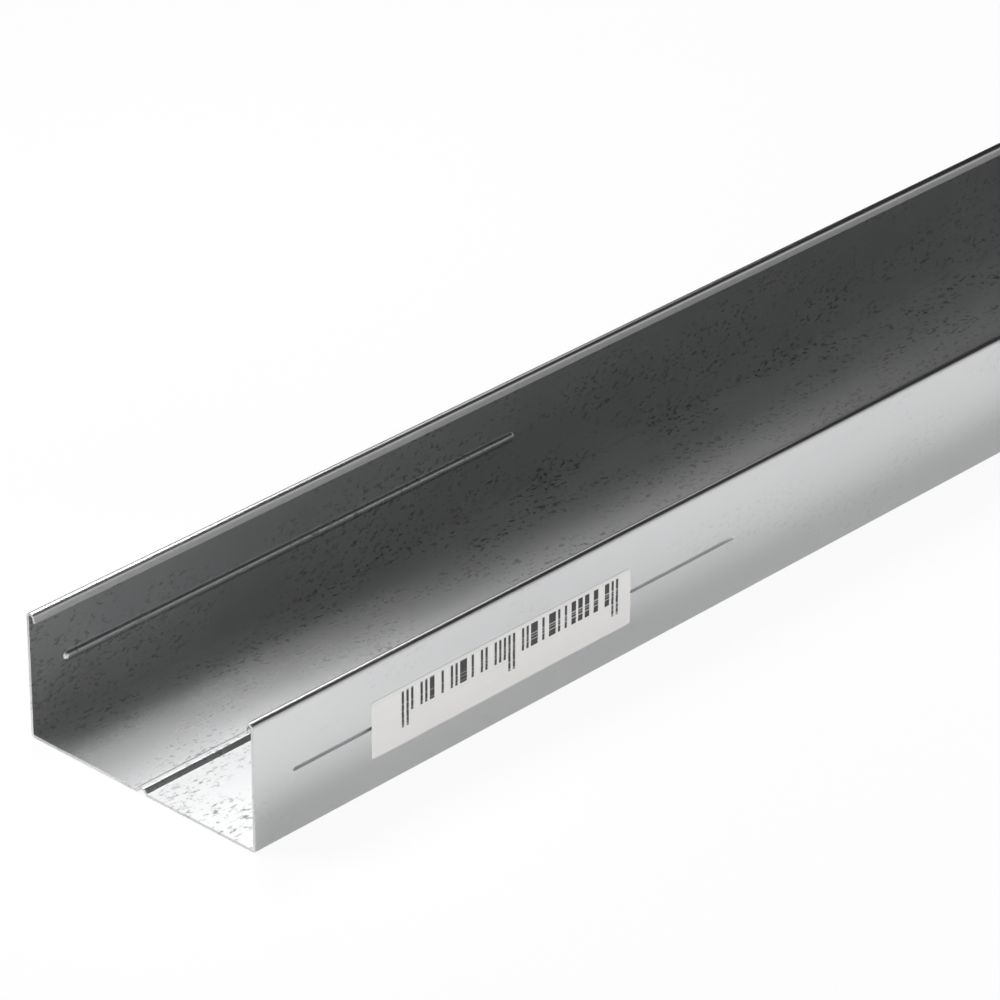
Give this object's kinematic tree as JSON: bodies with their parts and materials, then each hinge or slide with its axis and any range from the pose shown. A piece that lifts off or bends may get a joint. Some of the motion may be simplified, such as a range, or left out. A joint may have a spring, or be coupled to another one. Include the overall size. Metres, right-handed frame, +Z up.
{
  "type": "ceiling channel",
  "caption": "Roll-formed galvanised steel ceiling channel: an open C section with hooked lips, a ribbed web and beaded flanges, with a paper label near an end.",
  "frame": {"origin": "bottom centre of the bounding box: mid length and mid width, level with the underside of the web", "axes": "+X along the stock, +Y across it, +Z up through the open side between the lips"},
  "size_m": [2.6, 0.0609, 0.027],
  "materials": {
    "galvanised_steel": "smooth zinc-coated sheet, satin to bright, with small dark flecks",
    "label_paper": "matt white paper with plain printed bars"
  },
  "bodies": {
    "root": {"channel": "galvanised_steel", "adhesive_label": "label_paper"}
  },
  "joints": []
}
